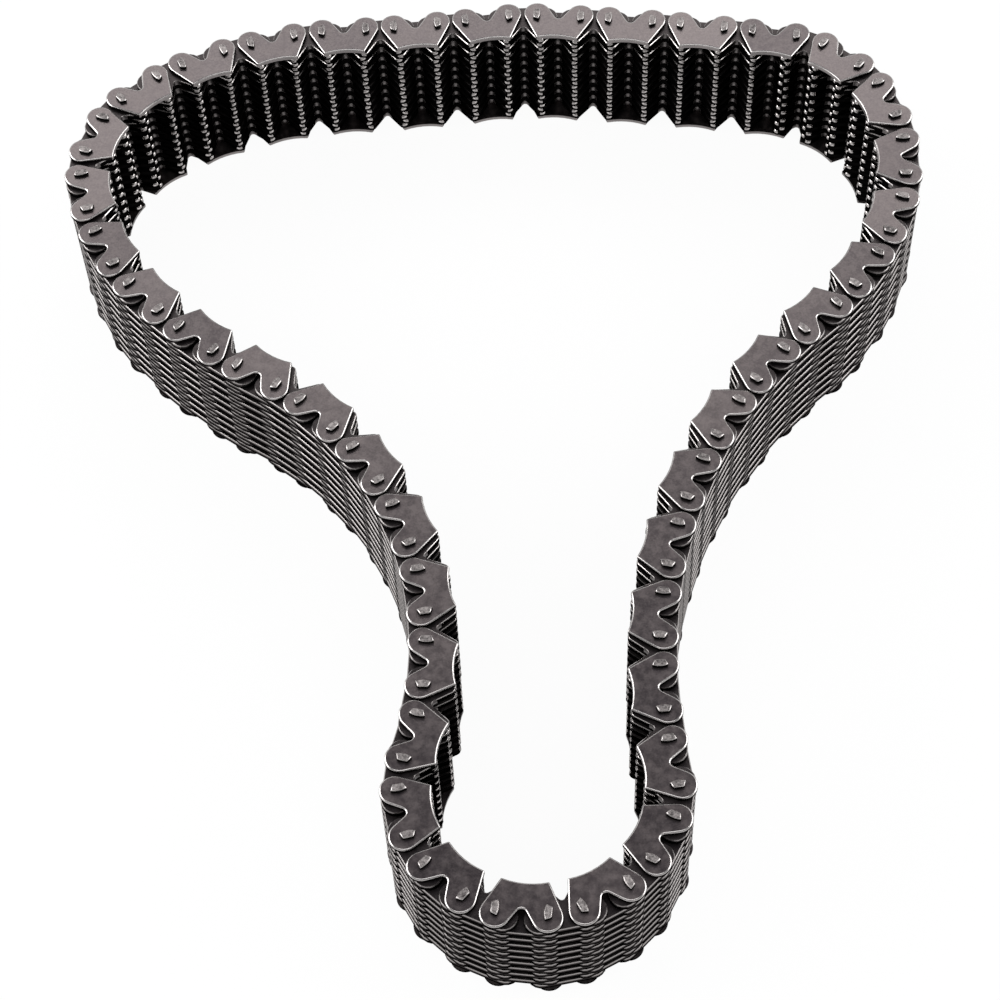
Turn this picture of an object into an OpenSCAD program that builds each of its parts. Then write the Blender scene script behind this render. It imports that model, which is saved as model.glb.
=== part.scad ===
// Endless inverted-tooth (silent) drive chain with rocker joints, lying on its side.
// The pins stand along Z, the tooth side of every plate faces the inside of the loop.

/* [Chain] */
// distance between neighbouring joints
pitch = 9.525; // [8:0.005:12.7]
// inner plate layers between the two guide plates, an odd number
inner_layers = 19; // [11:2:25]

/* [Plates] */
// thickness of a toothed inner plate
plate_t = 1.55; // [1.2:0.05:2]
// thickness of an outer guide plate
guide_t = 1.2; // [0.8:0.05:1.6]
// side play between neighbouring layers
side_gap = 0.1; // [0.06:0.01:0.2]
// free space between the ends of neighbouring plates of one layer, on a straight run
end_gap = 0.55; // [0.4:0.05:1]
// radius of a rounded plate end
end_r = 3.5; // [3.3:0.05:3.8]
// how far the rounded ends of a guide plate are centred behind the pin line
guide_lift = 0.9; // [0.6:0.1:1.2]
// how far the rounded ends of an inner plate are centred behind the pin line
inner_lift = 0.6; // [0.3:0.1:0.9]
// depth of the tooth tips under the pin line
tooth_drop = 7.4; // [6.8:0.1:8]
// half of the distance between the two tooth tips of a guide plate
tooth_half = 5.1; // [4.8:0.05:5.3]
// half of the distance between the two tooth tips of an inner plate
inner_tooth_half = 4.35; // [4.1:0.05:4.6]
// radius of the tooth tips of a guide plate
guide_toe_r = 0.35; // [0.2:0.05:0.5]
// radius of the tooth tips of an inner plate
inner_toe_r = 1.2; // [0.9:0.05:1.4]
// depth of the hollow between the tooth tips of a guide plate
tip_sag = 0.75; // [0.4:0.05:1.2]
// depth of the arch between the teeth, under the pin line
arch_drop = 2.8; // [2.4:0.1:3.2]
// radius of that arch
arch_r = 0.8; // [0.5:0.1:1.2]
// depth of the notch in the back of a guide plate, under the pin line
notch_drop = 0.6; // [0:0.1:1.2]
// radius at the bottom of that notch
notch_r = 1.1; // [0.6:0.1:1.6]

/* [Joints] */
// bore of an inner plate, on the joint axis
bore_d = 4.5; // [4.2:0.05:4.7]
// width of a rocker pin across the chain's pull, at its rolling face
pin_w = 4; // [3.4:0.1:4.2]
// width of a rocker pin at its back
pin_back_w = 2.4; // [1.8:0.1:3]
// thickness of a rocker pin along the chain's pull
pin_t = 1.82; // [1.4:0.02:2]
// radius of a pin's rolling face
pin_face_r = 4.5; // [3:0.1:5]
// free space between the two rolling faces of a joint
rocker_gap = 0.26; // [0.24:0.01:0.4]
// play of a pin in the bores of the inner plates
pin_play = 0.05; // [0.04:0.01:0.12]
// play of a pin in the shaped holes of its guide plates
seat_play = 0.02; // [0.01:0.01:0.05]
// how far a pin end stands out of the guide plate
pin_out = 1; // [0.4:0.1:1.6]

/* [Lay of the loop] */
// heading of the first link, at the front of the loop
first_heading = 171.25; // [165:0.25:180]
// bend of the joints round the front end
front_bend = 18; // [17:0.25:18.5]
// bend of the joints round the back left corner
left_bend = 15.5; // [15:0.25:16]
// bend of the joints round the back right corner
right_bend = 15.25; // [14.5:0.25:15.75]

/* [Hidden] */
$fn = 48;
links = 80;
groups = links / 4;
ex = pitch - end_gap / 2 - end_r;
bore = bore_d / 2;
pin_lean = atan((pin_w - pin_back_w) / (2 * pin_t));

layer = plate_t + side_gap;
z_guide = pin_out;
z_inner = z_guide + guide_t + side_gap;
z_top = z_inner + inner_layers * layer;
height = z_top + guide_t + pin_out;

steel = [0.36, 0.35, 0.35];
dark_steel = [0.24, 0.23, 0.24];
bright_steel = [0.5, 0.49, 0.48];

// The loop as runs of [joints, turn of each joint], clockwise from the middle of the front end.
// Inward bends are negative. Runs 2 and 14 are trimmed so that the loop closes, and the last
// run takes what is left of the full turn.
runs = [
    [5, -front_bend], [1, -8.5], [12, 6], [4, -3.75], [4, -7.75], [4, -left_bend], [2, -8.5], [4, -5],
    [4, 1], [2, -6], [6, -0.75], [4, -right_bend], [4, -10], [4, -6.75], [12, 4], [2, 3], [6, 0]
];
last = len(runs) - 1;

function total(v, i = 0) = i < len(v) ? v[i] + total(v, i + 1) : 0;

function trimmed(a, b) =
    let (t = [for (i = [0 : last]) runs[i][1] + (i == 2 ? a : i == 14 ? b : 0)],
         spent = total([for (i = [0 : last - 1]) runs[i][0] * t[i]]))
    [for (i = [0 : last]) i < last ? t[i] : (-360 - spent) / runs[last][0]];

function turns(a, b) = let (t = trimmed(a, b)) [for (i = [0 : last]) for (j = [1 : runs[i][0]]) t[i]];

function headings(t) = [for (i = 0, h = first_heading; i < links; h = h + t[i], i = i + 1) h];

function open_gap(a, b) =
    let (h = headings(turns(a, b)))
    pitch * [total([for (x = h) cos(x)]), total([for (x = h) sin(x)])];

function closing(a, b, n) =
    n == 0 ? [a, b] :
    let (e = 0.001,
         f = open_gap(a, b),
         fa = (open_gap(a + e, b) - f) / e,
         fb = (open_gap(a, b + e) - f) / e,
         det = fa.x * fb.y - fb.x * fa.y)
    closing(a + (fb.x * f.y - f.x * fb.y) / det, b + (fa.y * f.x - fa.x * f.y) / det, n - 1);

trim = closing(0, 0, 8);
heading = headings(turns(trim.x, trim.y));
step = [for (h = heading) pitch * [cos(h), sin(h)]];
joint = [for (i = 0, p = [0, 0]; i < links; p = p + step[i], i = i + 1) p];

function turned(v, a) = [v.x * cos(a) - v.y * sin(a), v.x * sin(a) + v.y * cos(a)];

// The loop is centred on the box round all the plate ends.
ends = [for (i = [0 : links - 1]) for (s = [-1, 1])
    joint[i] + step[i] / 2 + turned([s * ex, i % 2 == 0 ? guide_lift : inner_lift], heading[i])];
middle = [(min([for (p = ends) p.x]) + max([for (p = ends) p.x])) / 2,
          (min([for (p = ends) p.y]) + max([for (p = ends) p.y])) / 2];

// The points where the outer tangent of two circles touches them, on the left going from c1 to c2,
// taken a hair inside both circles so that line and arc meet at a clean crossing.
hair = 0.002;
function outer_tangent(c1, r1, c2, r2) =
    let (d = c2 - c1, n = atan2(d.y, d.x) + acos((r1 - r2) / norm(d)))
    [c1 + (r1 - hair) * [cos(n), sin(n)], c2 + (r2 - hair) * [cos(n), sin(n)]];

// The same for the tangent that crosses between the circles.
function cross_tangent(c1, r1, c2, r2) =
    let (d = c2 - c1, n = atan2(d.y, d.x) + acos((r1 + r2 - 2 * hair) / norm(d)))
    [c1 + (r1 - hair) * [cos(n), sin(n)], c2 - (r2 - hair) * [cos(n), sin(n)]];

function mirrored(v) = [for (i = [len(v) - 1 : -1 : 0]) [-v[i].x, v[i].y]];

// A pin's section at the right-hand joint of its own link: the rolling face looks at the link.
// The joint's bore holds two such pins, one of each link, that roll on each other.
module pin_section(play = 0) {
    front = pin_w / 2 + play * tan(pin_lean) + play / cos(pin_lean);
    back = pin_back_w / 2 - play * tan(pin_lean) + play / cos(pin_lean);
    intersection() {
        translate([pitch / 2, 0]) circle(r = bore - pin_play + play);
        translate([pitch / 2 + rocker_gap / 2 + pin_face_r, 0]) circle(r = pin_face_r + play);
        translate([pitch / 2 + rocker_gap / 2, 0])
            polygon([[-play, -front], [pin_t + play, -back], [pin_t + play, back], [-play, front]]);
    }
}

module inner_outline() {
    e = [ex, inner_lift];
    t = [inner_tooth_half, inner_toe_r - tooth_drop];
    c = [0, -arch_drop - arch_r];
    flank = outer_tangent(e, end_r, t, inner_toe_r);
    half = concat([[ex, inner_lift + end_r]], flank, cross_tangent(t, inner_toe_r, c, arch_r));
    difference() {
        union() {
            polygon(concat(half, mirrored(half)));
            for (s = [-1, 1]) {
                translate([s * e.x, e.y]) circle(r = end_r);
                translate([s * t.x, t.y]) circle(r = inner_toe_r);
            }
        }
        translate(c) circle(r = arch_r);
        for (s = [-1, 1]) translate([s * pitch / 2, 0]) circle(r = bore);
    }
}

module guide_outline() {
    e = [ex, guide_lift];
    t = [tooth_half, guide_toe_r - tooth_drop];
    c = [0, notch_r - notch_drop];
    valley = mirrored(cross_tangent([-e.x, e.y], end_r, c, notch_r));
    tip_r = (tooth_half * tooth_half + tip_sag * tip_sag) / (2 * tip_sag);
    half = concat(valley, outer_tangent(e, end_r, t, guide_toe_r), [[tooth_half, -tooth_drop]]);
    difference() {
        union() {
            polygon(concat([c], half, mirrored(half)));
            for (s = [-1, 1]) {
                translate([s * e.x, e.y]) circle(r = end_r);
                translate([s * t.x, t.y]) circle(r = guide_toe_r);
            }
        }
        translate(c) circle(r = notch_r);
        translate([0, tip_sag - tooth_drop - tip_r]) circle(r = tip_r);
        pin_section(seat_play);
        mirror([1, 0]) pin_section(seat_play);
    }
}

module pins(z0, z1) {
    for (m = [0, 1]) mirror([m, 0, 0]) translate([0, 0, z0]) linear_extrude(z1 - z0) pin_section();
}

module inner_plates(first) {
    for (i = [first : 2 : inner_layers - 1])
        translate([0, 0, z_inner + i * layer]) linear_extrude(plate_t) inner_outline();
}

module guide_plates() {
    for (z = [z_guide, z_top]) translate([0, 0, z]) linear_extrude(guide_t) guide_outline();
}

module at_link(i) {
    p = joint[i] + step[i] / 2 - middle;
    translate([p.x, p.y, 0]) rotate(heading[i]) children();
}

// A guide link: two guide plates on long pins, with every second inner plate between them.
module guide_row(i) {
    at_link(i) {
        color(steel) guide_plates();
        color(dark_steel) inner_plates(1);
        color(bright_steel) pins(0, height);
    }
}

// An inner link: the other inner plates, on short pins that end under the guide plates.
module inner_row(i) {
    at_link(i) {
        color(dark_steel) inner_plates(0);
        color(bright_steel) pins(z_inner, z_top - side_gap);
    }
}

module guide_link(g) {
    guide_row(4 * g - 4);
}

module inner_link(g) {
    inner_row(4 * g - 3);
}

module link_pair(g) {
    guide_row(4 * g - 2);
    inner_row(4 * g - 1);
}

function numbered(name, g) = str(name, g < 10 ? "_0" : "_", g);

for (g = [1 : groups]) {
    guide_link(g);
    inner_link(g);
    link_pair(g);
}
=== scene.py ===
import cmath
import math

import bmesh
import bpy
from mathutils import Matrix, Vector


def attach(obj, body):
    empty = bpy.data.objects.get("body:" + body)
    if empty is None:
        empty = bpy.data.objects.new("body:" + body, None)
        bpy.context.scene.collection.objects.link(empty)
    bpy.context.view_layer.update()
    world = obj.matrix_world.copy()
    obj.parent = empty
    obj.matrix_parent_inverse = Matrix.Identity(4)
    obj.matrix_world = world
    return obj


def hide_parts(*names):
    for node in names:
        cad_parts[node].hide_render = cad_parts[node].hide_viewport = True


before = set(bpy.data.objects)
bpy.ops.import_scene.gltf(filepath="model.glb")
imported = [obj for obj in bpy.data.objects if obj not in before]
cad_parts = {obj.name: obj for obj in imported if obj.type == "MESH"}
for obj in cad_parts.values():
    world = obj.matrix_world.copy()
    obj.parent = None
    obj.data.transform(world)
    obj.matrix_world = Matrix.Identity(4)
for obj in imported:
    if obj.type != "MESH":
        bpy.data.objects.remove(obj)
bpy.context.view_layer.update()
mm = 0.001
pitch = 9.525
print("frame loaded:", len(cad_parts), "link nodes")


def arc(centre, radius, start, end, steps):
    angles = [math.radians(start + (end - start) * n / steps) for n in range(steps + 1)]
    return [Vector((centre[0] + radius * math.cos(a), centre[1] + radius * math.sin(a))) for a in angles]


def mirrored(points):
    return [Vector((-p.x, p.y)) for p in reversed(points)]


# angle at which the tangent between two circles touches both, when it crosses between them
def crossAngle(start, startRadius, end, endRadius):
    away = end - start
    return math.degrees(math.atan2(away.y, away.x) + math.acos((startRadius + endRadius) / away.length))


# the same for the straight flank on the outside of an ear and a toe
def flankAngle(plate):
    across = plate["toeX"] - plate["endX"]
    down = plate["toeRadius"] - plate["toothDrop"] - plate["lift"]
    spread = math.acos((plate["endRadius"] - plate["toeRadius"]) / math.hypot(across, down))
    return math.degrees(math.atan2(down, across) + spread)


# how far each corner moves for one millimetre of inset
def insetDirections(points):
    directions = []
    for n, point in enumerate(points):
        before = (point - points[n - 1]).normalized()
        after = (points[(n + 1) % len(points)] - point).normalized()
        sideA, sideB = Vector((-before.y, before.x)), Vector((-after.y, after.x))
        directions.append((sideA + sideB) / (1 + sideA.dot(sideB)))
    return directions


def shifted(points, distance):
    return [p + d * distance for p, d in zip(points, insetDirections(points))]


# the stack along the pins, from the floor up
stack = {
    "innerLayers": 19,
    "plateThickness": 1.55,
    "guideThickness": 1.2,
    "sideGap": 0.1,
    "pinOut": 1.0,
    "seed": 7,
}
layer = stack["plateThickness"] + stack["sideGap"]
innerStart = stack["pinOut"] + stack["guideThickness"] + stack["sideGap"]
guideTop = innerStart + stack["innerLayers"] * layer
pinTop = guideTop + stack["guideThickness"] + stack["pinOut"]

# outer plate with two ears, a notch between them and a hollow between its tooth tips
guidePlate = {
    "endX": 5.75,
    "endRadius": 3.5,
    "lift": 0.9,  # ear centres behind the pin line
    "toeX": 5.1,
    "toeRadius": 0.35,
    "toothDrop": 7.4,
    "notchDrop": 0.6,
    "notchRadius": 1.1,
    "tipSag": 0.75,
    "rim": 0.36,  # edge rolled by blanking and tumbling
    "rimSteps": 2,
    "toeSteps": 3,
    "earSteps": 14,
    "notchSteps": 3,
    "hollowSteps": 6,
    "seatPlay": 0.02,
    "tipBelow": -6.0,  # height under which an edge counts as tooth tip
}


def guideOutline():
    g = guidePlate
    ear = Vector((g["endX"], g["lift"]))
    notch = Vector((0, g["notchRadius"] - g["notchDrop"]))
    flank = flankAngle(g)
    valley = crossAngle(Vector((-ear.x, ear.y)), g["endRadius"], notch, g["notchRadius"])
    tipRadius = (g["toeX"] ** 2 + g["tipSag"] ** 2) / (2 * g["tipSag"])
    tipY = g["tipSag"] - g["toothDrop"] - tipRadius
    tipHalf = math.degrees(math.asin(g["toeX"] / tipRadius))
    half = arc((g["toeX"], g["toeRadius"] - g["toothDrop"]), g["toeRadius"], -90, flank, g["toeSteps"])
    half += arc(ear, g["endRadius"], flank, 180 - valley, g["earSteps"])
    half += arc(notch, g["notchRadius"], -valley, -90, g["notchSteps"])
    hollow = arc((0, tipY), tipRadius, 90 + tipHalf, 90 - tipHalf, g["hollowSteps"])[1:-1]
    return half + mirrored(half[:-1]) + hollow


# marks on a stretch of edge, for its rim and for its wall: worn bright with painted highlight, dark from
# shearing with painted shade, painted shade further down the stack, broken band
def guideMarks(point):
    if point.y < guidePlate["tipBelow"]:
        return (0.55, 0.0, 0.0, 0.0), (0.2, 0.2, 0.0, 0.0)
    # guide walls: dark from shearing, and painted shade under the rims
    return (0.6, 0.0, 0.0, 0.0), (0.0, 1.0, 0.0, 0.0)


# toothed plate with a bore at each joint and an arch between its teeth
innerPlate = {
    "endX": 5.75,
    "endRadius": 3.5,
    "lift": 0.6,
    "toeX": 4.35,
    "toeRadius": 1.2,
    "toothDrop": 7.4,
    "archDrop": 2.8,
    "archRadius": 0.8,
    "archEase": 0.15,  # share of the line from the arch to the toe where its marks change
    "boreRadius": 2.25,
    "boreSides": 6,
    "rim": 0.22,
    "rimSteps": 1,
    "toeSteps": 6,
    "archSteps": 2,
    "earSteps": 7,
    "backAbove": 3.5,  # heights and reaches that part the edge into back, ears, tips and arch
    "earAbove": -1.0,
    "cornerBelow": -6.0,
    "cornerOut": 0.6,
    "tipBelow": -7.0,
    "tipOut": -0.5,
    "archHalf": 1.0,
}


def innerOutline():
    p = innerPlate
    toe = Vector((p["toeX"], p["toeRadius"] - p["toothDrop"]))
    arch = Vector((0, -p["archDrop"] - p["archRadius"]))
    flank = flankAngle(p)
    cross = crossAngle(toe, p["toeRadius"], arch, p["archRadius"])
    tip = arc(toe, p["toeRadius"], cross - 360, flank, p["toeSteps"])
    half = arc(arch, p["archRadius"], 90, cross - 180, p["archSteps"])
    half += [half[-1].lerp(tip[0], p["archEase"])] + tip
    half += arc((p["endX"], p["lift"]), p["endRadius"], flank, 90, p["earSteps"])
    return half + mirrored(half[1:])


def innerMarks(point):
    p = innerPlate
    outward = abs(point.x) - p["toeX"]
    if point.y > p["backAbove"]:
        return (0.55, 0.0, 0.0, 0.0), (0.0, 0.4, 0.0, 1.0)
    if point.y > p["earAbove"]:
        return (0.3, 0.0, 0.0, 0.0), (0.0, 0.9, 0.0, 1.0)
    if point.y < p["cornerBelow"] and outward > p["cornerOut"]:  # this corner rubs, and its full brightness also paints a glint
        return (1.0, 0.0, 0.0, 0.0), (1.0, 0.0, 0.0, 1.0)
    if point.y < p["tipBelow"] and outward > p["tipOut"]:
        return (0.8, 0.0, 0.0, 0.0), (0.7, 0.0, 0.0, 1.0)
    if abs(point.x) < p["archHalf"]:
        return (0.3, 0.0, 1.0, 0.0), (0.15, 0.0, 0.0, 0.0)
    # inner flanks: rims painted bright near the top as highlight and shaded further down by the depth mark;
    # walls painted dark as shade
    return (1.0, 0.0, 1.0, 0.0), (0.0, 1.0, 0.0, 0.0)


# pin with a leaning side, a round back that fits the bore and a face that rolls on its neighbour
rockerPin = {
    "outerRadius": 2.2,
    "faceRadius": 4.5,
    "gap": 0.26,
    "thickness": 1.82,
    "width": 4.0,
    "backWidth": 2.4,
    "faceSteps": 6,
    "rim": 0.2,
    "rimSteps": 1,
}


def pinOutline():
    p = rockerPin
    front = p["gap"] / 2
    back = front + p["thickness"]
    half = p["width"] / 2
    lean = (p["width"] - p["backWidth"]) / 2 / p["thickness"]
    # how far along the leaning side the round back and the rolling face cut it
    a = 1 + lean ** 2
    b = front - half * lean
    roundAt = (-b + math.sqrt(b * b - a * (front ** 2 + half ** 2 - p["outerRadius"] ** 2))) / a
    c = p["faceRadius"] + half * lean
    faceAt = (c - math.sqrt(c * c - a * half ** 2)) / a
    faceHalf = math.degrees(math.asin((half - lean * faceAt) / p["faceRadius"]))
    upper = [(back, math.sqrt(p["outerRadius"] ** 2 - back ** 2)), (front + roundAt, half - lean * roundAt)]
    points = [Vector(q) for q in upper]
    rolling = (front + p["faceRadius"], 0)
    points += arc(rolling, p["faceRadius"], 180 - faceHalf, 180 + faceHalf, p["faceSteps"])
    points += [Vector((x, -y)) for x, y in reversed(upper)]
    return [Vector((q.x + pitch / 2, q.y)) for q in points]


def pinMarks(point):
    # pin walls painted dark as the shadow round each pin; rims worn bright with painted highlight
    return (0.6, 0.0, 0.0, 0.0), (0.0, 1.0, 0.0, 0.0)


# a plate or a pin cut from its outline: straight walls, rolled rims, holes right through
# faces carry marks: worn bright where they rub, also a painted highlight on rims and corners for glints;
# dark from shearing, also painted shade on walls in shadow; painted shade further down between the layers;
# and a band where the lower part of a wall broke away
def blankedSolid(name, outline, holes, height, shape, marks, bothRims):
    mesh = bpy.data.meshes.new(name)
    bm = bmesh.new()
    layers = [bm.faces.layers.float.new(key) for key in ("wearAndGlint", "dark", "shadeWithDepth", "band")]
    rim, steps = shape["rim"], shape["rimSteps"]
    roll = [math.radians(90 * n / steps) for n in range(steps + 1)]
    high = [(rim * (1 - math.cos(a)), height - rim * (1 - math.sin(a))) for a in roll]
    low = [(inset, height - z) for inset, z in reversed(high)] if bothRims else [(0, 0)]
    rings = []
    for inset, z in low + high:
        rings.append([bm.verts.new((p.x * mm, p.y * mm, z * mm)) for p in shifted(outline, inset)])
    count = len(outline)
    for level in range(len(rings) - 1):
        for n in range(count):
            m = (n + 1) % count
            face = bm.faces.new((rings[level][n], rings[level][m], rings[level + 1][m], rings[level + 1][n]))
            rimMarks, wallMarks = marks((outline[n] + outline[m]) / 2)
            onWall = level == len(low) - 1
            for mark, value in zip(layers, wallMarks if onWall else rimMarks):
                face[mark] = value
    bottoms, tops = [rings[0]], [rings[-1]]
    for hole in holes:
        below = [bm.verts.new((p.x * mm, p.y * mm, 0)) for p in hole]
        above = [bm.verts.new((p.x * mm, p.y * mm, height * mm)) for p in hole]
        for n in range(len(hole)):
            m = (n + 1) % len(hole)
            face = bm.faces.new((below[m], below[n], above[n], above[m]))
            face[layers[1]] = 1.0
        bottoms.append(below)
        tops.append(above)
    for borders, up in ((bottoms, -1), (tops, 1)):
        edges = [bm.edges.get((ring[n - 1], ring[n])) for ring in borders for n in range(len(ring))]
        filled = bmesh.ops.triangle_fill(bm, use_beauty=True, edges=edges, normal=(0, 0, up))
        for face in [f for f in filled["geom"] if isinstance(f, bmesh.types.BMFace)]:
            face.normal_update()
            if face.normal.z * up < 0:
                face.normal_flip()
        for edge in edges:
            edge.smooth = False
    for face in bm.faces:
        face.smooth = True
    bm.to_mesh(mesh)
    bm.free()
    return bpy.data.objects.new(name, mesh)


pinPoints = pinOutline()
seat = shifted(pinPoints, -guidePlate["seatPlay"])
boreReach = innerPlate["boreRadius"] / math.cos(math.pi / innerPlate["boreSides"])
bore = arc((pitch / 2, 0), boreReach, 0, 360, innerPlate["boreSides"])[:-1]
guideTemplate = blankedSolid(
    "guidePlateTemplate", guideOutline(), [seat, mirrored(seat)], stack["guideThickness"], guidePlate,
    guideMarks, False)
innerTemplate = blankedSolid(
    "innerPlateTemplate", innerOutline(), [bore, mirrored(bore)], stack["plateThickness"], innerPlate,
    innerMarks, False)
longPinTemplate = blankedSolid("longPinTemplate", pinPoints, [], pinTop, rockerPin, pinMarks, True)
shortPinTemplate = blankedSolid(
    "shortPinTemplate", pinPoints, [], guideTop - stack["sideGap"] - innerStart, rockerPin, pinMarks, True)
templates = (guideTemplate, innerTemplate, longPinTemplate, shortPinTemplate)
print("plates and pins blanked:", [len(t.data.polygons) for t in templates], "faces")

# lay of the loop: [joints, turn of each joint in degrees], clockwise from the middle of the front end
loop = {
    "firstHeading": 171.25,
    "runs": [
        [5, -18], [1, -8.5], [12, 6], [4, -3.75], [4, -7.75], [4, -15.5], [2, -8.5], [4, -5], [4, 1],
        [2, -6], [6, -0.75], [4, -15.25], [4, -10], [4, -6.75], [12, 4], [2, 3], [6, 0],
    ],
    "trimmedRuns": (2, 14),  # these two give way a little so that the loop closes
    "solveStep": 0.001,  # degrees
    "solveRounds": 8,
    "groups": 20,  # a group is a guide link, an inner link and a pair of both
    "linksInGroup": 4,
}


def linkHeadings(trims):
    runs = [list(run) for run in loop["runs"]]
    for place, trim in zip(loop["trimmedRuns"], trims):
        runs[place][1] += trim
    spent = sum(count * turn for count, turn in runs[:-1])
    runs[-1][1] = (-360 - spent) / runs[-1][0]  # the last run takes the rest of the full turn
    headings = [loop["firstHeading"]]
    for count, turn in runs:
        for _ in range(count):
            headings.append(headings[-1] + turn)
    return [math.radians(heading) for heading in headings[:-1]]


def openGap(trims):
    return sum(pitch * cmath.exp(1j * heading) for heading in linkHeadings(trims))


def closedHeadings():
    a, b, step = 0.0, 0.0, loop["solveStep"]
    for _ in range(loop["solveRounds"]):
        gap = openGap((a, b))
        byA = (openGap((a + step, b)) - gap) / step
        byB = (openGap((a, b + step)) - gap) / step
        det = byA.real * byB.imag - byB.real * byA.imag
        a += (byB.real * gap.imag - gap.real * byB.imag) / det
        b += (byA.imag * gap.real - byA.real * gap.imag) / det
    return linkHeadings((a, b))


# middle and heading of every link, with the loop's box centred on the frame
def layLinks():
    joint = 0j
    middles = []
    ears = []
    headings = closedHeadings()
    for index, heading in enumerate(headings):
        forward = cmath.exp(1j * heading)
        middle = joint + pitch / 2 * forward
        plate = guidePlate if index % 2 == 0 else innerPlate
        for side in (-1, 1):
            ears.append(middle + (side * plate["endX"] + 1j * plate["lift"]) * forward)
        middles.append(middle)
        joint += pitch * forward
    across = [ear.real for ear in ears]
    along = [ear.imag for ear in ears]
    centre = complex(min(across) + max(across), min(along) + max(along)) / 2
    return [(middle - centre, heading) for middle, heading in zip(middles, headings)]


links = layLinks()
print("loop laid:", len(links), "links")


# adds a node with its settings, and links or sets its inputs
def addNode(tree, kind, inputs=(), **settings):
    node = tree.nodes.new(kind)
    for key, value in settings.items():
        setattr(node, key, value)
    for key, value in dict(inputs).items():
        if isinstance(value, bpy.types.NodeSocket):
            tree.links.new(value, node.inputs[key])
        else:
            node.inputs[key].default_value = value
    return node


def linear(hexColour):
    channels = [int(hexColour[n:n + 2], 16) / 255 for n in (1, 3, 5)]
    return [c / 12.92 if c <= 0.04045 else ((c + 0.055) / 1.055) ** 2.4 for c in channels] + [1.0]


# what the three steels share
tumbling = {
    "mottleDetail": 3.0,
    "gritDetail": 1.0,
    "scratchDetail": 2.0,
    "scratchStretch": 0.06,
    "scratchHeight": 0.02,  # mm
    "gritShare": 0.4,
    "cloudSpan": (0.38, 0.62),
    "roughSpan": (0.3, 0.7),
    "roughSwing": 0.06,
    "breakFrom": 0.35,  # share of a layer's height up to which a sheared wall stays dark
    "breakTo": 0.55,  # share from which it is clean
    "shadeStartDepth": 1.5,  # mm under the upper guide plates, where the painted shade begins and where it is full
    "shadeFullDepth": 7,
}
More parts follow.
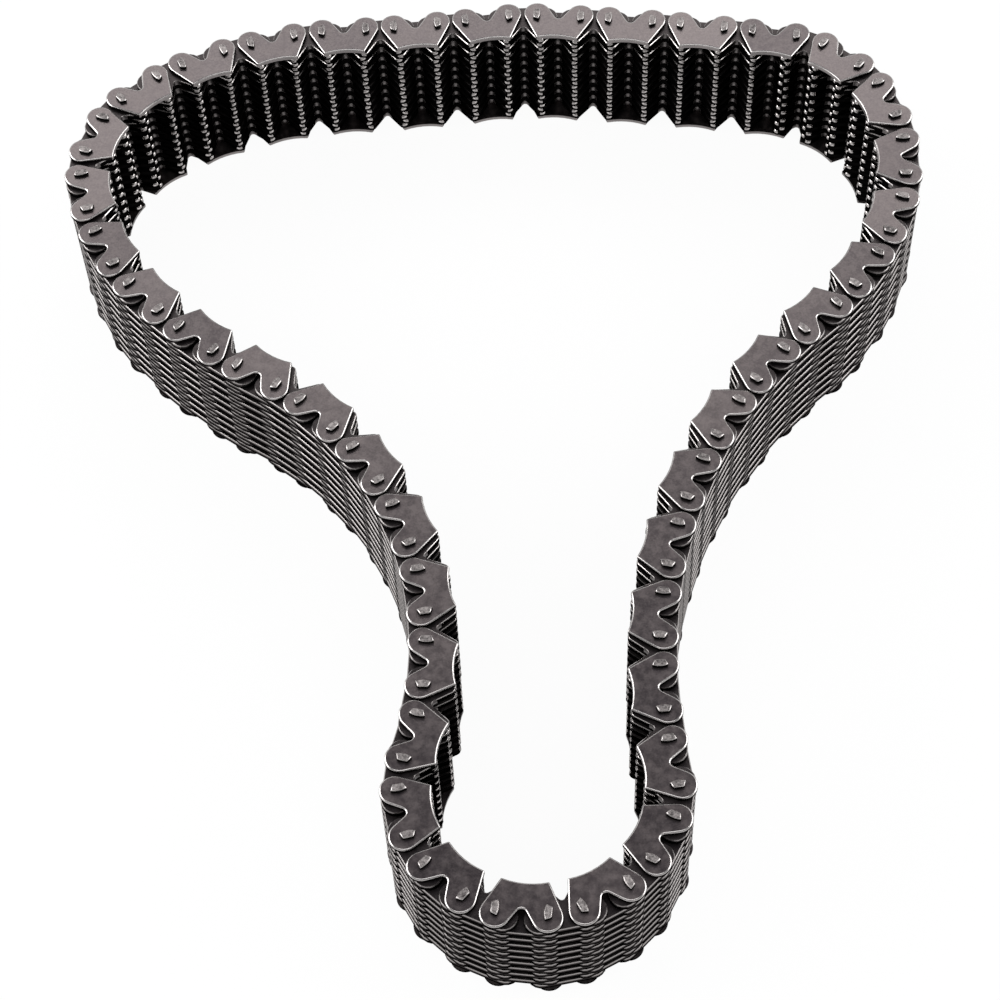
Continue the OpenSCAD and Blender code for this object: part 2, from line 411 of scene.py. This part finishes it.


# hardened carbon steel, blanked and tumbled: a dark satin skin with soft mottling, fine grit and crossing
# scratches, rims and tooth tips worn bright with painted highlight on top, walls dark from shearing with a
# dark broken band below, and painted shade on walls and further down the stack
def tumbledSteel(name, look):
    material = bpy.data.materials.new(name)
    material.use_nodes = True
    tree = material.node_tree
    shader = tree.nodes["Principled BSDF"]
    place = addNode(tree, "ShaderNodeTexCoord").outputs["Object"]
    marks = {}
    for key in ("tone", "wearAndGlint", "dark", "shadeWithDepth", "band"):
        marks[key] = addNode(tree, "ShaderNodeAttribute", attribute_name=key).outputs["Fac"]
    mottle = addNode(tree, "ShaderNodeTexNoise", {
        "Vector": place, "Scale": 1 / (look["mottleSize"] * mm), "Detail": tumbling["mottleDetail"],
    }).outputs["Fac"]
    grit = addNode(tree, "ShaderNodeTexNoise", {
        "Vector": place, "Scale": 1 / (look["gritSize"] * mm), "Detail": tumbling["gritDetail"],
    }).outputs["Fac"]
    scratches = []
    for turn in look["scratchTurns"]:
        lines = addNode(tree, "ShaderNodeMapping", {
            "Vector": place, "Rotation": (0, 0, math.radians(turn)),
            "Scale": (1.0, tumbling["scratchStretch"], 1.0)})
        scratches.append(addNode(tree, "ShaderNodeTexNoise", {
            "Vector": lines.outputs["Vector"], "Scale": 1 / (look["scratchWidth"] * mm),
            "Detail": tumbling["scratchDetail"]}).outputs["Fac"])
    scratch = addNode(tree, "ShaderNodeMath", {
        0: scratches[0], 1: scratches[1]}, operation="MAXIMUM").outputs[0]
    cloud = addNode(tree, "ShaderNodeMix", {
        0: tumbling["gritShare"], 2: mottle, 3: grit}, data_type="FLOAT").outputs[0]
    cloudy = addNode(tree, "ShaderNodeMapRange", {
        "Value": cloud, "From Min": tumbling["cloudSpan"][0], "From Max": tumbling["cloudSpan"][1],
    }).outputs["Result"]
    shade = addNode(tree, "ShaderNodeMix", {
        0: look["toneShare"], 2: cloudy, 3: marks["tone"]}, data_type="FLOAT").outputs[0]
    skin = addNode(tree, "ShaderNodeMix", {
        0: shade, 6: linear(look["darkFace"]), 7: linear(look["paleFace"])}, data_type="RGBA").outputs[2]
    # worn rims and tips turn bright: rubbing, and painted highlight where glints fall
    rubbedAndGlinting = addNode(tree, "ShaderNodeMix", {
        0: marks["wearAndGlint"], 6: skin, 7: linear(look["bright"])}, data_type="RGBA").outputs[2]
    height = addNode(tree, "ShaderNodeSeparateXYZ", {0: place}).outputs["Z"]
    level = addNode(tree, "ShaderNodeMath", {
        0: height, 1: 1 / (layer * mm), 2: -innerStart / layer}, operation="MULTIPLY_ADD").outputs[0]
    inPlate = addNode(tree, "ShaderNodeMath", {0: level}, operation="FRACT").outputs[0]
    broken = addNode(tree, "ShaderNodeMapRange", {
        "Value": inPlate, "From Min": tumbling["breakFrom"], "From Max": tumbling["breakTo"],
        "To Min": 1.0, "To Max": 0.0}).outputs["Result"]
    breaking = addNode(tree, "ShaderNodeMath", {
        0: broken, 1: marks["band"]}, operation="MULTIPLY").outputs[0]
    # painted shade: marked rims darken further down the stack below the upper guide plates, standing in for
    # the shadow between the layers
    depthShadeRamp = addNode(tree, "ShaderNodeMapRange", {
        "Value": height, "From Min": (guideTop - tumbling["shadeFullDepth"]) * mm,
        "From Max": (guideTop - tumbling["shadeStartDepth"]) * mm, "To Min": 1.0, "To Max": 0.0,
    }).outputs["Result"]
    depthShade = addNode(tree, "ShaderNodeMath", {0: depthShadeRamp, 1: marks["shadeWithDepth"]}, operation="MULTIPLY").outputs[0]
    shearedAndShaded = addNode(tree, "ShaderNodeMath", {
        0: breaking, 1: marks["dark"]}, operation="MAXIMUM").outputs[0]
    darkness = addNode(tree, "ShaderNodeMath", {0: shearedAndShaded, 1: depthShade}, operation="MAXIMUM").outputs[0]
    # dark marks mix in the wall colour and take away the white grazing reflection: dark steel from shearing,
    # and painted shade
    colour = addNode(tree, "ShaderNodeMix", {
        0: darkness, 6: rubbedAndGlinting, 7: linear(look["wall"])}, data_type="RGBA").outputs[2]
    edgeTint = addNode(tree, "ShaderNodeMix", {
        0: darkness, 6: (1, 1, 1, 1), 7: (0, 0, 0, 1)}, data_type="RGBA").outputs[2]
    smoothing = addNode(tree, "ShaderNodeMapRange", {
        "Value": marks["wearAndGlint"], "To Min": look["roughness"], "To Max": look["rimRoughness"],
    }).outputs["Result"]
    grain = addNode(tree, "ShaderNodeMapRange", {
        "Value": mottle, "From Min": tumbling["roughSpan"][0], "From Max": tumbling["roughSpan"][1],
        "To Min": -tumbling["roughSwing"], "To Max": tumbling["roughSwing"]}).outputs["Result"]
    roughness = addNode(tree, "ShaderNodeMath", {0: smoothing, 1: grain}, operation="ADD").outputs[0]
    bump = addNode(tree, "ShaderNodeBump", {
        "Height": scratch, "Strength": look["scratchDepth"], "Distance": tumbling["scratchHeight"] * mm,
    }).outputs["Normal"]
    tree.links.new(colour, shader.inputs["Base Color"])
    tree.links.new(edgeTint, shader.inputs["Specular Tint"])
    tree.links.new(roughness, shader.inputs["Roughness"])
    tree.links.new(bump, shader.inputs["Normal"])
    shader.inputs["Metallic"].default_value = 1.0
    return material


guideSteel = tumbledSteel("tumbled_guide_plate_steel", {
    "darkFace": "#595354", "paleFace": "#807877", "wall": "#2f2c2d", "bright": "#cfccca", "toneShare": 0.5,
    "mottleSize": 2.0, "gritSize": 0.45, "scratchWidth": 0.35, "scratchTurns": (20, 110),
    "scratchDepth": 0.45, "roughness": 0.36, "rimRoughness": 0.2})
# the inner plates' faces and walls are coloured darker as painted shade for the shadow between the layers
innerSteel = tumbledSteel("inner_plate_steel_painted_shade", {
    "darkFace": "#3c3838", "paleFace": "#4e4949", "wall": "#0d0c0c", "bright": "#c4bfbd", "toneShare": 0.3,
    "mottleSize": 2.0, "gritSize": 0.5, "scratchWidth": 0.35, "scratchTurns": (50, 140),
    "scratchDepth": 0.3, "roughness": 0.42, "rimRoughness": 0.24})
# the near-black pin wall is painted shadow, the dark outline round each pin
pinSteel = tumbledSteel("hardened_rocker_pin_steel", {
    "darkFace": "#524e4e", "paleFace": "#b4aeac", "wall": "#0e0d0d", "bright": "#d0ccca", "toneShare": 0.3,
    "mottleSize": 0.8, "gritSize": 0.35, "scratchWidth": 0.3, "scratchTurns": (0, 90),
    "scratchDepth": 0.8, "roughness": 0.62, "rimRoughness": 0.2})
print("steels mixed: guide plates, inner plates, pins")


# node tree that stacks plates and pins on a body's link points
# a point carries "turn", the link's heading, and "inner", 1 on an inner link and 0 on a guide link
def linkStackTree():
    tree = bpy.data.node_groups.new("linkStack", "GeometryNodeTree")
    sockets = {}
    for kind, names in (
        ("NodeSocketGeometry", ("Links",)),
        ("NodeSocketInt", ("Plates on a Guide Link", "Seed")),
        ("NodeSocketFloat", ("Lower Guide", "Guide Spacing", "First Layer", "Layer Spacing")),
        ("NodeSocketObject", ("Guide Plate", "Inner Plate", "Long Pin", "Short Pin")),
        ("NodeSocketMaterial", ("Guide Steel", "Inner Steel", "Pin Steel")),
    ):
        for name in names:
            made = tree.interface.new_socket(name=name, in_out="INPUT", socket_type=kind)
            sockets[name] = made.identifier
    tree.interface.new_socket(name="Stacks", in_out="OUTPUT", socket_type="NodeSocketGeometry")
    given = addNode(tree, "NodeGroupInput").outputs
    turn = addNode(tree, "GeometryNodeInputNamedAttribute", {"Name": "turn"}, data_type="FLOAT").outputs[0]
    inner = addNode(tree, "GeometryNodeInputNamedAttribute", {"Name": "inner"}, data_type="FLOAT").outputs[0]
    outer = addNode(tree, "ShaderNodeMath", {0: 1.0, 1: inner}, operation="SUBTRACT").outputs[0]
    plates = addNode(tree, "ShaderNodeMath", {
        0: given["Plates on a Guide Link"], 1: inner}, operation="ADD").outputs[0]
    everySecond = addNode(tree, "ShaderNodeMath", {
        0: given["Layer Spacing"], 1: 2.0}, operation="MULTIPLY").outputs[0]
    innerFirst = addNode(tree, "ShaderNodeMath", {
        0: outer, 1: given["Layer Spacing"], 2: given["First Layer"]}, operation="MULTIPLY_ADD").outputs[0]
    branches = []
    # piece, steel, links that have it, copies, height of the first, rise and turn to the next, first flip
    # the lower guide plate is flipped, so that the rolled rims look outward on both sides
    for piece, steel, chosen, copies, first, rise, twist, flip in (
        ("Guide Plate", "Guide Steel", outer, 2, given["Lower Guide"], given["Guide Spacing"], 0.0, math.pi),
        ("Inner Plate", "Inner Steel", True, plates, innerFirst, everySecond, 0.0, 0.0),
        ("Long Pin", "Pin Steel", outer, 2, 0.0, 0.0, math.pi, 0.0),
        ("Short Pin", "Pin Steel", inner, 2, given["First Layer"], 0.0, math.pi, 0.0),
    ):
        copied = addNode(tree, "GeometryNodeDuplicateElements", {
            "Geometry": given["Links"], "Selection": chosen, "Amount": copies}, domain="POINT").outputs
        number = copied["Duplicate Index"]
        lift = addNode(tree, "ShaderNodeMath", {0: number, 1: rise, 2: first}, operation="MULTIPLY_ADD")
        offset = addNode(tree, "ShaderNodeCombineXYZ", {"Z": lift.outputs[0]}).outputs[0]
        raised = addNode(tree, "GeometryNodeSetPosition", {
            "Geometry": copied["Geometry"], "Offset": offset}).outputs[0]
        facing = addNode(tree, "ShaderNodeMath", {0: number, 1: twist, 2: turn}, operation="MULTIPLY_ADD")
        over = addNode(tree, "ShaderNodeMath", {0: number, 1: -flip, 2: flip}, operation="MULTIPLY_ADD")
        spin = addNode(tree, "ShaderNodeCombineXYZ", {
            "Y": over.outputs[0], "Z": facing.outputs[0]}).outputs[0]
        shape = addNode(tree, "GeometryNodeObjectInfo", {"Object": given[piece]}).outputs["Geometry"]
        placed = addNode(tree, "GeometryNodeInstanceOnPoints", {
            "Points": raised, "Instance": shape, "Rotation": spin}).outputs[0]
        chance = addNode(tree, "FunctionNodeRandomValue", {"Seed": given["Seed"]}, data_type="FLOAT")
        tone = [output for output in chance.outputs if output.enabled][0]
        toned = addNode(tree, "GeometryNodeStoreNamedAttribute", {
            "Geometry": placed, "Name": "tone", "Value": tone}, data_type="FLOAT", domain="INSTANCE")
        solid = addNode(tree, "GeometryNodeRealizeInstances", {"Geometry": toned.outputs[0]}).outputs[0]
        branches.append(addNode(tree, "GeometryNodeSetMaterial", {
            "Geometry": solid, "Material": given[steel]}).outputs[0])
    joined = addNode(tree, "GeometryNodeJoinGeometry")
    for branch in branches:
        tree.links.new(branch, joined.inputs[0])
    addNode(tree, "NodeGroupOutput", {0: joined.outputs[0]})
    return tree, sockets


stackTree, stackSockets = linkStackTree()


def stackedLinks(name, places):
    points = bpy.data.meshes.new(name + "_points")
    points.from_pydata([(links[i][0].real * mm, links[i][0].imag * mm, 0) for i in places], [], [])
    turns = points.attributes.new("turn", "FLOAT", "POINT")
    turns.data.foreach_set("value", [links[i][1] for i in places])
    inners = points.attributes.new("inner", "FLOAT", "POINT")
    inners.data.foreach_set("value", [i % 2 for i in places])
    maker = bpy.data.objects.new(name + "_maker", points)
    bpy.context.scene.collection.objects.link(maker)
    modifier = maker.modifiers.new("linkStack", "NODES")
    modifier.node_group = stackTree
    settings = {
        "Plates on a Guide Link": stack["innerLayers"] // 2,
        "Seed": stack["seed"] + places[0],
        "Lower Guide": (innerStart - stack["sideGap"]) * mm,
        "Guide Spacing": (guideTop - innerStart + stack["sideGap"]) * mm,
        "First Layer": innerStart * mm,
        "Layer Spacing": layer * mm,
        "Guide Plate": guideTemplate,
        "Inner Plate": innerTemplate,
        "Long Pin": longPinTemplate,
        "Short Pin": shortPinTemplate,
        "Guide Steel": guideSteel,
        "Inner Steel": innerSteel,
        "Pin Steel": pinSteel,
    }
    for key, value in settings.items():
        modifier[stackSockets[key]] = value
    graph = bpy.context.evaluated_depsgraph_get()
    mesh = bpy.data.meshes.new_from_object(maker.evaluated_get(graph))
    mesh.name = name
    maker.modifiers.remove(modifier)
    bpy.data.objects.remove(maker)
    piece = bpy.data.objects.new(name, mesh)
    bpy.context.scene.collection.objects.link(piece)
    return piece


for group in range(loop["groups"]):
    first = loop["linksInGroup"] * group
    for kind, places, slot in (
        ("guide_link", [first], "guide_link_steel"),
        ("inner_link", [first + 1], "inner_link_steel"),
        ("link_pair", [first + 2, first + 3], "guide_link_steel"),
    ):
        node = f"{kind}_{group + 1:02d}"
        piece = stackedLinks("steel_" + node, places)
        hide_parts(node)
        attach(piece, node)
for template in templates:
    bpy.data.objects.remove(template)

# camera as the photograph was taken: looking down on the narrow end, turned a little about its axis
view = {
    "focal": 2764,  # pixels, in the 1000 pixel frame
    "frameSize": 1000,
    "sensor": 36,
    "elevation": 58.048,
    "roll": -2.739,
    "distance": 651.8,
    "target": (-2.136, -23.239, 35.85),
    "nearest": 0.01,  # metres
    "farthest": 50,
}


def addCamera():
    data = bpy.data.cameras.new("photoCamera")
    data.sensor_width = view["sensor"]
    data.lens = view["focal"] / view["frameSize"] * view["sensor"]
    data.clip_start = view["nearest"]
    data.clip_end = view["farthest"]
    camera = bpy.data.objects.new("photoCamera", data)
    bpy.context.scene.collection.objects.link(camera)
    tilt, roll = math.radians(view["elevation"]), math.radians(view["roll"])
    forward = Vector((0, math.cos(tilt), -math.sin(tilt)))
    level = Vector((1, 0, 0))
    above = Vector((0, math.sin(tilt), math.cos(tilt)))
    right = level * math.cos(roll) + above * math.sin(roll)
    up = above * math.cos(roll) - level * math.sin(roll)
    turned = Matrix((right, up, -forward)).transposed().to_4x4()
    at = (Vector(view["target"]) - forward * view["distance"]) * mm
    camera.matrix_world = Matrix.Translation(at) @ turned
    bpy.context.scene.camera = camera


addCamera()

# soft studio light: pale walls, a dim ceiling and broad boxes behind, on both sides and over the camera
studio = {
    "floorSize": 6,
    "floorColour": "#ffffff",
    "floorGlow": 0.95,
    "sky": [
        (0.0, "#ffffff"), (0.2, "#f8f8f8"), (0.35, "#d8d8d8"), (0.7, "#b8b8b8"), (0.93, "#7b7880"),
        (1.0, "#6c6972"),
    ],
    "frontShade": 0.06,  # share of light that is left high up behind the camera
    "frontSpan": (-0.9, -0.2),
    "raisedSpan": (0.18, 0.32),
    "boxes": [  # name, place, width, height, radiance
        ("backBox", (0.0, 0.95, 0.85), 1.4, 0.5, 2.2),
        ("leftBox", (-1.2, 0.15, 0.45), 1.3, 0.6, 6.5),
        ("rightBox", (1.2, 0.15, 0.45), 1.3, 0.6, 5.0),
        ("frontBox", (0.0, -0.75, 1.15), 1.4, 0.6, 2.0),
    ],
}


def addFloor():
    half = studio["floorSize"] / 2
    corners = [(-half, -half, 0), (half, -half, 0), (half, half, 0), (-half, half, 0)]
    mesh = bpy.data.meshes.new("studioFloor")
    mesh.from_pydata(corners, [], [(0, 1, 2, 3)])
    floor = bpy.data.objects.new("studioFloor", mesh)
    bpy.context.scene.collection.objects.link(floor)
    material = bpy.data.materials.new("white_paper_sweep")
    material.use_nodes = True
    tree = material.node_tree
    tree.nodes.remove(tree.nodes["Principled BSDF"])
    rays = addNode(tree, "ShaderNodeLightPath").outputs
    seen = addNode(tree, "ShaderNodeMath", {
        0: rays["Is Camera Ray"], 1: rays["Is Glossy Ray"]}, operation="MAXIMUM").outputs[0]
    clear = addNode(tree, "ShaderNodeMath", {
        0: seen, 1: rays["Is Transmission Ray"]}, operation="MAXIMUM").outputs[0]
    share = addNode(tree, "ShaderNodeMath", {
        0: clear, 1: studio["floorGlow"]}, operation="MULTIPLY").outputs[0]
    paper = addNode(tree, "ShaderNodeBsdfDiffuse", {"Color": linear(studio["floorColour"])}).outputs[0]
    glow = addNode(tree, "ShaderNodeEmission", {"Color": (1, 1, 1, 1), "Strength": 1.0}).outputs[0]
    mixed = addNode(tree, "ShaderNodeMixShader", {0: share, 1: paper, 2: glow}).outputs[0]
    tree.links.new(mixed, tree.nodes["Material Output"].inputs["Surface"])
    mesh.materials.append(material)


def addSky():
    world = bpy.data.worlds.new("studioWalls")
    world.use_nodes = True
    tree = world.node_tree
    direction = addNode(tree, "ShaderNodeTexCoord").outputs["Generated"]
    way = addNode(tree, "ShaderNodeSeparateXYZ", {0: direction}).outputs
    ramp = addNode(tree, "ShaderNodeValToRGB", {"Fac": way["Z"]})
    away = addNode(tree, "ShaderNodeMapRange", {
        "Value": way["Y"], "From Min": studio["frontSpan"][0], "From Max": studio["frontSpan"][1],
        "To Min": studio["frontShade"], "To Max": 1.0})
    raised = addNode(tree, "ShaderNodeMapRange", {
        "Value": way["Z"], "From Min": studio["raisedSpan"][0], "From Max": studio["raisedSpan"][1]})
    strength = addNode(tree, "ShaderNodeMix", {
        0: raised.outputs["Result"], 2: 1.0, 3: away.outputs["Result"]}, data_type="FLOAT").outputs[0]
    stops = ramp.color_ramp.elements
    for n, (place, colour) in enumerate(studio["sky"]):
        stop = stops[n] if n < 2 else stops.new(place)
        stop.position = place
        stop.color = linear(colour)
    tree.links.new(ramp.outputs["Color"], tree.nodes["Background"].inputs["Color"])
    tree.links.new(strength, tree.nodes["Background"].inputs["Strength"])
    bpy.context.scene.world = world


def addBoxes():
    for name, place, width, height, radiance in studio["boxes"]:
        data = bpy.data.lights.new(name, "AREA")
        data.shape = "RECTANGLE"
        data.size, data.size_y = width, height
        data.energy = radiance * math.pi * width * height
        lamp = bpy.data.objects.new(name, data)
        aim = (-Vector(place)).to_track_quat("-Z", "Y").to_matrix().to_4x4()
        lamp.matrix_world = Matrix.Translation(place) @ aim
        bpy.context.scene.collection.objects.link(lamp)


addFloor()
addSky()
addBoxes()
bpy.context.scene.view_settings.view_transform = "Standard"
print("camera, floor and light set")
